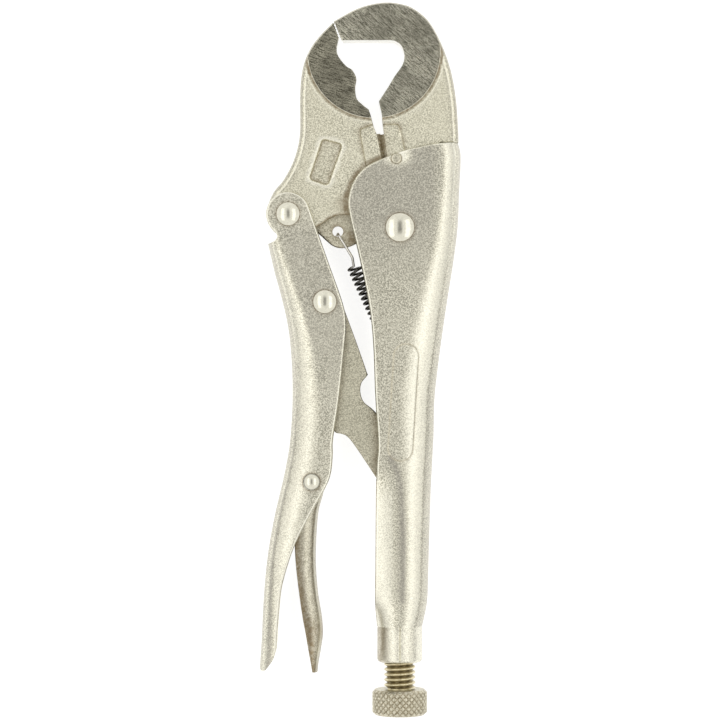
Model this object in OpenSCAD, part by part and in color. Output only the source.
// Locking pliers with a closed wrench mouth, 250 mm long, lying flat and locked shut.
// +Y runs from the adjusting knob to the jaws, +X from the movable handle to the fixed one,
// +Z up through the thickness. The origin is under the middle, on the surface it lies on.
// All shapes are laid out from the main pivot and then moved to that origin.

/* [Jaws] */
// Thickness of both jaws
jaw_thick = 11; // [9:0.1:11]
// Radius of the round ground land on each face of the jaws
land_r = 23; // [20:0.5:23]
// Depth of the ground land below the jaw face
land_depth = 0.7; // [0.3:0.1:1]
// Depth of the cutter seats and of the blank panel
seat_depth = 0.5; // [0.2:0.1:0.8]
// Thickness of the tab that the spring hooks into
tab_thick = 4.6; // [3:0.1:6]
// Radius of the movable jaw's hub round the main pivot
hub_r = 12.8; // [11:0.1:12.8]
// Teeth on each tip of the jaws
tooth_count = 6; // [4:1:8]
// Depth of those teeth
tooth_depth = 0.45; // [0.2:0.05:0.6]

/* [Handles] */
// Outside depth of the fixed handle's channel
fixed_depth = 16; // [16:0.1:16.6]
// Sheet thickness of the fixed handle
fixed_sheet = 2.4; // [2.2:0.05:2.4]
// Outside depth of the movable handle's channel
grip_depth = 15.3; // [15.2:0.1:15.6]
// Sheet thickness of the movable handle
grip_sheet = 2.0; // [1.8:0.05:2]
// Outside diameter of the threaded collar at the end of the fixed handle
collar_d = 15.7; // [15:0.1:16]

/* [Link and release lever] */
// Thickness of the toggle link
link_thick = 8; // [6:0.5:8]
// Outside depth of the release lever's channel
lever_depth = 10; // [9:0.1:10.2]
// Sheet thickness of the release lever
lever_sheet = 1.3; // [1:0.05:1.4]

/* [Adjusting screw] */
// Outside diameter of the thread
screw_d = 11; // [10:0.1:11]
// Pitch of the thread
screw_pitch = 1.814; // [1.5:0.05:2]
// Diameter of the knurled knob
knob_d = 19.4; // [18.8:0.1:20]
// Length of the knurled knob
knob_len = 8.9; // [8:0.1:9.5]

/* [Rivets] */
// Head diameter of the main pivot rivet
main_head_d = 9.8; // [9:0.1:10.5]
// Shank diameter of the main pivot rivet
main_shank_d = 6.4; // [5.5:0.1:7]
// Head diameter of the two handle rivets
head_d = 8; // [7:0.1:8.4]
// Shank diameter of the two handle rivets
shank_d = 5; // [4:0.1:5.4]
// Head diameter of the release lever's rivet
lever_head_d = 6; // [5.4:0.1:6.6]
// Shank diameter of the release lever's rivet
lever_shank_d = 3.6; // [3:0.1:4]
// Height of the rivets' domes
dome_h = 1.3; // [0.8:0.1:1.5]
// Diameter of the pin that locates the fixed jaw
pin_d = 3.7; // [3:0.1:4]

/* [Spring] */
// Outside diameter of the coil
spring_d = 5.3; // [4.5:0.1:5.6]
// Wire diameter
wire_d = 0.9; // [0.7:0.1:1.1]
// Turns in the coil
spring_turns = 22; // [16:1:24]

/* [Hidden] */
$fn = 96;

// Pivot centres, from the main pivot, which is also on the screw's axis
jaw_pivot = [-39, 4.7];
link_pivot = [-26.2, -25.9];
lever_pivot = [-30.8, -88.7];
pin_place = [-1.3, 24];
tab_hole = [-21.7, -1.2];
land_centre = [-9.1, 61.5];

// Heights along the screw's axis
collar_top = -137.5;
collar_end = -152;
knob_top = -161.6;
screw_tip = -96.5;

// From the main pivot to the origin of the whole part
origin_shift = [13.85, 45.85, knob_d / 2];

// Running clearance of a shaft in its hole, on the radius
running = 0.05;
lobe_r = 7.6;
lug_hole = [6.2, -57.8];
coil_start = [-16.1, -13.4];
coil_end = [0.9, -50.7];

module place() {
    translate(origin_shift) children();
}

// ---- curves ----

// A point a fraction t of the way from b to c on the smooth curve a, b, c, d
function blend_point(a, b, c, d, t) =
    0.5 * (2 * b + (c - a) * t + (2 * a - 5 * b + 4 * c - d) * t * t
        + (3 * b - a - 3 * c + d) * t * t * t);

// A smooth curve through the points p, with n steps between each two
function smooth(p, n = 4) = let (e = len(p) - 1)
    concat([for (i = [0:e - 1]) for (k = [0:n - 1])
        blend_point(p[max(i - 1, 0)], p[i], p[i + 1], p[min(i + 2, e)], k / n)], [p[e]]);

// An arc of radius r round c, from angle a0 to angle a1
function arc(c, r, a0, a1, n = 12) =
    [for (k = [0:n]) let (a = a0 + (a1 - a0) * k / n) c + r * [cos(a), sin(a)]];

// Teeth on the left of the way from p to q
function teeth(p, q, count, depth) = let (u = (q - p) / norm(q - p), v = [-u.y, u.x])
    [for (k = [0:2 * count]) p + (q - p) * k / (2 * count) + v * (k % 2 == 1 ? depth : 0)];

function reversed(p) = [for (k = [len(p) - 1:-1:0]) p[k]];

// ---- bent sheet channels ----

arc_steps = 4;
turn_steps = 8;

// One side of a channel's section, from its lip to the middle of its spine:
// depth from lips to spine, half width, spine radius and the angle the lip is rolled in
function side_curve(depth, hook, half, radius, roll) = concat(
    [for (k = [0:arc_steps]) let (a = roll * (1 - k / arc_steps))
        [hook - half * sin(a), half * cos(a)]],
    [for (k = [0:turn_steps]) let (b = 90 * k / turn_steps)
        [depth - radius + radius * sin(b), half * cos(b)]]);

// The whole section at height y as a closed ring of points.
// s = [y, spine x, lip x, half width, roll angle of the lips]
function section(s, sheet) =
    let (way = sign(s[1] - s[2]), depth = abs(s[1] - s[2]), hook = s[3] * sin(s[4]),
        radius = min(s[3], depth - hook - 0.1),
        outer = side_curve(depth, hook, s[3], radius, s[4]),
        inner = side_curve(depth - sheet, hook, s[3] - sheet, max(radius - sheet, 0.3), s[4]),
        e = len(outer) - 1)
    concat([for (p = outer) [s[2] + way * p.x, s[0], p.y]],
        [for (k = [e - 1:-1:0]) [s[2] + way * outer[k].x, s[0], -outer[k].y]],
        [for (p = inner) [s[2] + way * p.x, s[0], -p.y]],
        [for (k = [e - 1:-1:0]) [s[2] + way * inner[k].x, s[0], inner[k].y]]);

// A channel through the sections s, which run downwards
module channel(s, sheet) {
    rings = [for (k = s) section(k, sheet)];
    n = len(rings[0]);
    last = len(rings) - 1;
    right = s[0][1] > s[0][2];
    walls = [for (i = [0:last - 1]) for (k = [0:n - 1]) for (h = [0, 1])
        let (a = i * n + k, b = i * n + (k + 1) % n)
        h == 0 ? [a, b, b + n] : [a, b + n, a + n]];
    ends = [[for (k = [n - 1:-1:0]) k], [for (k = [0:n - 1]) last * n + k]];
    faces = concat(walls, ends);
    polyhedron([for (r = rings) for (p = r) p], right ? faces : [for (f = faces) reversed(f)]);
}

// A flat piece of the given thickness, centred on the middle plane
module plate(points, thick) {
    linear_extrude(thick, center = true) polygon(points);
}

module hole(at, d, deep = 40) {
    translate([at.x, at.y, 0]) cylinder(d = d, h = deep, center = true);
}

// ---- fixed handle ----

// Spine, lips, half width and lip roll from the jaw end down to the collar
fixed_half = fixed_depth / 2;
fixed_stations = [
    [31, 20.4, -20, fixed_half, 3], [25, 21.5, -20, fixed_half, 3],
    [13, 20.9, -20.5, fixed_half, 3], [0, 20.3, -20.5, fixed_half, 3],
    [-12, 18.8, -18, fixed_half, 3], [-24, 16.9, -14.5, fixed_half, 3],
    [-36, 15.1, -11.5, fixed_half, 3], [-48, 13.5, -10.5, fixed_half, 3],
    [-60, 12.2, -9.8, fixed_half, 4], [-72, 11.9, -9.2, fixed_half, 5],
    [-82, 11.4, -8.4, fixed_half, 9], [-92, 10.9, -8.4, fixed_half, 14],
    [-104, 10.5, -8.4, fixed_half, 22], [-118, 10.1, -8.5, fixed_half, 36],
    [-129, 9.8, -8.7, fixed_half, 58], [-134, 9.2, -8.6, fixed_half - 0.05, 78],
    [-137, 8.2, -8, collar_d / 2 - 0.05, 85], [-139.5, 7.6, -7.6, collar_d / 2 - 0.25, 86]];

// Side view of the cheeks: the top edge, then the lip edge downwards
fixed_outline = concat(
    [[26, 29.7], [20.4, 29.7]],
    smooth([[14.7, 29.5], [9.9, 28.9], [2, 27.1], [-4.8, 24.6], [-12.2, 20.9], [-16.4, 15.6],
        [-18.1, 9], [-17.3, 3], [-15.1, -6.1], [-12.4, -18.3], [-10.3, -30], [-9.2, -42],
        [-8.6, -58], [-7.6, -75], [-8, -82], [-11, -92]]),
    [[-11, -142], [26, -142]]);

module fixed_handle() {
    color([0.79, 0.77, 0.70]) place() difference() {
        union() {
            intersection() {
                channel(smooth(fixed_stations, 2), fixed_sheet);
                plate(fixed_outline, 30);
            }
            // Collar that the screw threads through, chamfered at its mouth
            translate([0, collar_end, 0]) rotate([-90, 0, 0]) {
                translate([0, 0, 0.8]) cylinder(d = collar_d, h = collar_top - collar_end - 0.8);
                cylinder(d1 = collar_d - 1.6, d2 = collar_d, h = 0.8);
            }
            // Lug lanced inwards from the spine, which holds the end of the spring
            translate([7.6, lug_hole.y, 0]) cube([6, 2.6, 2], center = true);
        }
        translate([0, collar_end - 1, 0]) rotate([-90, 0, 0])
            cylinder(r = screw_d / 2 + running, h = 19.5);
        hole([0, 0], main_shank_d + 2 * running);
        hole(pin_place, pin_d + 2 * running);
        hole(lug_hole, 1.5, 4);
    }
}

// ---- jaws ----

fixed_gap = [[-7, 42.8], [-6.3, 39.8], [-6, 36.4], [-5.5, 32.5], [-4.5, 25.1]];
movable_gap = [[-10.2, 39.3], [-9.2, 35.4], [-8, 32.5], [-6.5, 24.7], [-5.3, 17]];

fixed_jaw_outline = concat(
    smooth([[-23.1, 72.2], [-16, 76.1], [-10.5, 78], [-4.8, 78.8], [0.1, 78.3], [4.5, 76.8],
        [9.9, 72.4], [14.3, 64.8], [17.7, 55.4], [19.6, 45], [20.4, 34]]),
    [[20.5, 29.8], [14, 29.8], [13.6, 10.5]],
    arc([0, 0], hub_r + 0.3, 36, 104, 16),
    [[-3.8, 19]],
    reversed(fixed_gap),
    smooth([[-7.3, 44.2], [-3.8, 49.6], [-1.9, 52.8], [0.7, 56.5], [1.6, 59.4], [1.3, 61.8],
        [0.2, 64], [-1.9, 65.3]]),
    [[-3, 65.5], [-19.9, 65.5]],
    teeth([-20, 66.3], [-22.2, 71.6], tooth_count, tooth_depth));

movable_jaw_outline = concat(
    teeth([-23.5, 71.5], [-21.6, 66], tooth_count, tooth_depth),
    smooth([[-21.6, 65], [-22.1, 62.5], [-21.5, 59.9], [-18.9, 56.6], [-16.6, 55], [-15.2, 52.1],
        [-15.6, 49], [-15.1, 45.2], [-13.1, 43], [-10.9, 41.3]]),
    movable_gap,
    arc([0, 0], hub_r, 110, -195, 48),
    smooth([[-16, 3.9], [-19.8, 4.6], [-23.8, 3.6], [-29.1, 0.2], [-33, -0.9]]),
    arc(jaw_pivot, lobe_r, -75, -175, 10),
    smooth([[-46.2, 7.6], [-44, 12.6], [-40.8, 16.5], [-37.8, 21.9], [-35.9, 27.3],
        [-34.9, 33.5], [-34.9, 44.5], [-34.5, 52], [-33.3, 58.1], [-30.9, 63.2],
        [-27.6, 67.5], [-24, 71.1]]));

tab_outline = concat(
    [[-31, 2], [-30.4, -0.6]],
    smooth([[-28, -2.3], [-25.7, -4.4], [-23.6, -6.1], [-21.3, -6.9], [-18.7, -6.8],
        [-16.2, -5.9], [-13, -4.2]]),
    [[-10, -3], [-10, 8], [-20, 8]]);

// Ground land, sunk into both faces of a jaw
module land_cuts() {
    for (side = [-1, 1])
        translate([land_centre.x, land_centre.y, side * (jaw_thick / 2 - land_depth + 5)])
            cylinder(r = land_r, h = 10, center = true, $fn = 128);
}

// A shallow flat seat sunk into both faces of a jaw
module seat_cuts(points) {
    for (side = [-1, 1])
        translate([0, 0, side * (jaw_thick / 2 - seat_depth + 5)]) plate(points, 10);
}

// Wire cutter edge along the side of the gap from p to q, standing out to the left of that way
module cutter_edge(p, q, out) {
    u = q - p;
    translate([p.x, p.y, 0]) rotate([0, 0, atan2(u.y, u.x)]) rotate([90, 0, 90])
        linear_extrude(norm(u)) polygon([[-0.6, -3.4], [0, -3.2], [out, 0], [0, 3.2], [-0.6, 3.4]]);
}

module fixed_jaw() {
    color([0.74, 0.72, 0.65]) place() {
        difference() {
            union() {
                plate(fixed_jaw_outline, jaw_thick);
                cutter_edge([-3.8, 19], [-5.5, 32.5], 0.8);
            }
            land_cuts();
            seat_cuts(concat([[-8, 35.9]], smooth([[-1.9, 36.2], [-0.6, 35.8], [0.1, 34.6]], 3),
                [[1.1, 30.7], [2, 26], [2.4, 20], [-8, 20]]));
            hole(pin_place, pin_d + 2 * running);
        }
    }
}

module movable_jaw() {
    color([0.74, 0.72, 0.65]) place() {
        difference() {
            union() {
                plate(movable_jaw_outline, jaw_thick);
                plate(tab_outline, tab_thick);
                cutter_edge([-8, 32.5], [-5.3, 17], 0.8);
            }
            land_cuts();
            seat_cuts([[-14.1, 33.6], [-13.6, 34.5], [-9.8, 36.1], [-5, 36.1], [-5, 20], [-11.7, 20]]);
            // Blank panel with round corners
            seat_cuts(concat(arc([-26.2, 29.4], 1.5, 170, 75, 4), arc([-21.7, 28.2], 1.5, 70, -15, 4),
                arc([-25.9, 16.3], 1.5, -20, -110, 4), arc([-30, 17.7], 1.5, 250, 165, 4)));
            hole([0, 0], main_shank_d + 2 * running);
            hole(jaw_pivot, shank_d + 2 * running);
            hole(tab_hole, 3.8);
        }
    }
}

// ---- movable handle ----

// Two straight ears at the top, then the spine down to the tail
grip_half = grip_depth / 2;
ear_stations = [[14, -64, -16, grip_half, 3], [-4.9, -64, -16, grip_half, 3]];
grip_stations = [
    [-5.5, -46.4, -16, grip_half, 3], [-15, -44, -16, grip_half, 3],
    [-25, -41.3, -16, grip_half, 3], [-35, -39.1, -16, grip_half, 3],
    [-47, -37.9, -17, grip_half, 3], [-60, -37.6, -18, grip_half, 3],
    [-74, -38.4, -20, grip_half, 3], [-84, -40, -21, grip_half, 3],
    [-92, -41.8, -23, grip_half, 3], [-101, -43.9, -27, grip_half, 3],
    [-112, -45.9, -32, grip_half, 3], [-122, -47.1, -35, grip_half - 0.05, 3],
    [-133, -47.9, -36, grip_half - 0.15, 3], [-144, -48.4, -37, grip_half - 0.25, 3],
    [-155.5, -49.1, -38, grip_half - 0.45, 3]];

grip_outline = concat(
    arc(jaw_pivot, 7.7, 25, 235, 24),
    [[-42.8, -3.1], [-43.8, -4.7], [-46.2, -5.5], [-60, -6.5], [-60, -154.7]],
    [[-47.2, -154.7]],
    smooth([[-46, -153.3], [-44.3, -150.9], [-43.2, -147.7], [-42.4, -135.4], [-41.1, -124.7],
        [-36.9, -111.4], [-31.3, -100.2], [-25.9, -90.6], [-24.1, -85.8], [-23.5, -79.4],
        [-23.4, -74], [-21.3, -60.1], [-19.4, -42.1], [-18.8, -33.5], [-19.9, -26.5],
        [-24.5, -13.3], [-27.8, -4], [-31.3, 6]]));

module movable_handle() {
    color([0.80, 0.78, 0.71]) place() difference() {
        intersection() {
            channel(concat(ear_stations, smooth(grip_stations, 2)), grip_sheet);
            plate(grip_outline, 30);
        }
        hole(jaw_pivot, shank_d + 2 * running);
        hole(link_pivot, shank_d + 2 * running);
        hole(lever_pivot, lever_shank_d + 2 * running);
    }
}

// ---- toggle link and release lever ----

link_outline = concat(
    arc(link_pivot, 5.6, 20, 175, 12),
    smooth([[-31.2, -30], [-28.9, -42], [-26.6, -55], [-24.4, -63], [-23.6, -67], [-23.4, -70],
        [-22.4, -71.6], [-20.5, -72], [-18.2, -73.1], [-15, -77.2], [-7.7, -88.2]]),
    arc([-0.8, -90.6], 3.6, 215, 370, 12),
    smooth([[0, -82], [-4, -70], [-9.1, -63.9], [-12.6, -60.9], [-13.8, -57.4], [-13.4, -54.2],
        [-11.4, -51.6], [-11.6, -50.3], [-15, -40.5], [-19.4, -28.5]]));

module toggle_link() {
    color([0.70, 0.68, 0.60]) place() difference() {
        plate(link_outline, link_thick);
        hole(link_pivot, shank_d + 2 * running);
    }
}

lever_half = lever_depth / 2;
lever_stations = [
    [-70, -27.4, -30.4, lever_half - 0.5, 3], [-73, -26.9, -31.2, lever_half - 0.2, 3],
    [-78, -26.4, -32.9, lever_half, 3], [-85, -26.1, -34.4, lever_half, 3],
    [-92, -26.6, -35.7, lever_half, 3], [-99, -28.4, -36.5, lever_half, 3],
    [-108, -29.2, -36.8, lever_half, 3], [-117, -29.4, -36.4, lever_half, 3],
    [-127, -28.7, -35.3, lever_half, 3], [-136, -27.3, -34, lever_half - 0.2, 3],
    [-142, -26.9, -32.9, lever_half - 0.5, 3], [-148, -27.7, -31.9, lever_half - 0.8, 3],
    [-152, -28.4, -31.2, lever_half - 1.1, 3], [-155.5, -28.8, -30.6, lever_half - 1.5, 3]];

module release_lever() {
    color([0.76, 0.74, 0.66]) place() difference() {
        channel(lever_stations, lever_sheet);
        hole(lever_pivot, lever_shank_d + 2 * running);
    }
}

// ---- rivets ----

// A shank across a channel of the given depth, with a low dome on both ends
module rivet(at, shank, head, depth) {
    // Radius of the sphere that the dome is cut from
    ball = (head * head / 4 + dome_h * dome_h) / (2 * dome_h);
    half = depth / 2;
    rim = asin(head / 2 / ball);
    translate([at.x, at.y, 0]) rotate_extrude() polygon(concat(
        [[0, -half - dome_h]],
        [for (k = [1:8]) let (a = rim * k / 8)
            [ball * sin(a), -half - dome_h + ball * (1 - cos(a))]],
        [[shank / 2, -half], [shank / 2, half]],
        [for (k = [8:-1:1]) let (a = rim * k / 8)
            [ball * sin(a), half + dome_h - ball * (1 - cos(a))]],
        [[0, half + dome_h]]));
}

module main_pivot_rivet() {
    color([0.90, 0.89, 0.85]) place() rivet([0, 0], main_shank_d, main_head_d, fixed_depth);
}

module jaw_rivet() {
    color([0.90, 0.89, 0.85]) place() rivet(jaw_pivot, shank_d, head_d, grip_depth);
}

module link_rivet() {
    color([0.90, 0.89, 0.85]) place() rivet(link_pivot, shank_d, head_d, grip_depth);
}

module lever_rivet() {
    color([0.90, 0.89, 0.85]) place() rivet(lever_pivot, lever_shank_d, lever_head_d, grip_depth);
}

module jaw_locating_pin() {
    color([0.78, 0.76, 0.70]) place()
        translate([pin_place.x, pin_place.y, 0]) cylinder(d = pin_d, h = fixed_depth - 0.3, center = true);
}

// ---- adjusting screw ----

module adjusting_screw() {
    length = screw_tip - knob_top - 0.5;
    rings = floor((length - 4) / screw_pitch);
    root = screw_d / 2 - 0.61 * screw_pitch;
    color([0.66, 0.60, 0.42]) place() translate([0, knob_top, 0]) rotate([-90, 0, 0])
        rotate_extrude() polygon(concat(
            [[0, -6], [root, -6], [root, 0]],
            [for (k = [0:rings - 1]) for (c = [[0.3, screw_d / 2], [0.5, screw_d / 2], [0.92, root]])
                [c[1], (k + c[0]) * screw_pitch]],
            [[root, length - 1.5], [root - 1.5, length], [0, length]]));
}

module knurled_knob() {
    root = screw_d / 2 - 0.61 * screw_pitch;
    color([0.72, 0.69, 0.60]) place() translate([0, knob_top - knob_len, 0]) rotate([-90, 0, 0])
        difference() {
            union() {
                cylinder(d1 = knob_d - 2, d2 = knob_d, h = 1);
                translate([0, 0, 1]) cylinder(d = knob_d, h = knob_len - 2);
                translate([0, 0, knob_len - 1]) cylinder(d1 = knob_d, d2 = knob_d - 2, h = 1);
            }
            translate([0, 0, knob_len - 6 - running]) cylinder(r = root + running, h = 8);
        }
}

// ---- spring ----

// One wire from behind the tab, through its hole and round the coil to the lug in the handle
function spring_path() =
    let (u = (coil_end - coil_start) / norm(coil_end - coil_start), v = [-u.y, u.x],
        r = (spring_d - wire_d) / 2, steps = 10, count = spring_turns * steps)
    concat(
        smooth([[-23.2, -4.6, -3], [-22.2, -2.6, -2.9], [-21.7, -1.9, 0], [-21.2, -2.9, 2.9],
            [-18.9, -6.6, 3], [-16.6, -10.4, 2.7]], 3),
        [for (k = [0:count]) let (a = 90 + 360 * k / steps,
            c = coil_start + (coil_end - coil_start) * k / count + r * cos(a) * v)
            [c.x, c.y, r * sin(a)]],
        smooth([[2.8, -53.6, 2], [5, -56.4, 1.9], [6.1, -57.7, 0.6], [6.2, -57.9, -1.8],
            [7.2, -58.6, -2.4]], 3));

// A round wire along the points p: each ring turns as little as it can from the last
module wire(p, d, sides = 6) {
    e = len(p) - 1;
    way = [for (i = [0:e]) let (t = p[min(i + 1, e)] - p[max(i - 1, 0)]) t / norm(t)];
    first = cross(way[0], [0, 0, 1]);
    across = [for (i = 0, n = first / norm(first); i <= e;
        m = i < e ? n - (n * way[i + 1]) * way[i + 1] : n, i = i + 1, n = m / norm(m)) n];
    rings = [for (i = [0:e]) let (n = across[i], b = cross(way[i], n)) for (k = [0:sides - 1])
        p[i] + d / 2 * (cos(360 * k / sides) * n + sin(360 * k / sides) * b)];
    walls = [for (i = [0:e - 1]) for (k = [0:sides - 1]) for (h = [0, 1])
        let (a = i * sides + k, c = i * sides + (k + 1) % sides)
        h == 0 ? [a, a + sides, c + sides] : [a, c + sides, c]];
    polyhedron(rings, concat(walls, [[for (k = [0:sides - 1]) k],
        [for (k = [sides - 1:-1:0]) e * sides + k]]));
}

module jaw_spring() {
    color([0.16, 0.15, 0.14]) place() wire(spring_path(), wire_d);
}

fixed_handle();
fixed_jaw();
jaw_locating_pin();
main_pivot_rivet();
movable_jaw();
movable_handle();
jaw_rivet();
link_rivet();
lever_rivet();
toggle_link();
release_lever();
adjusting_screw();
knurled_knob();
jaw_spring();
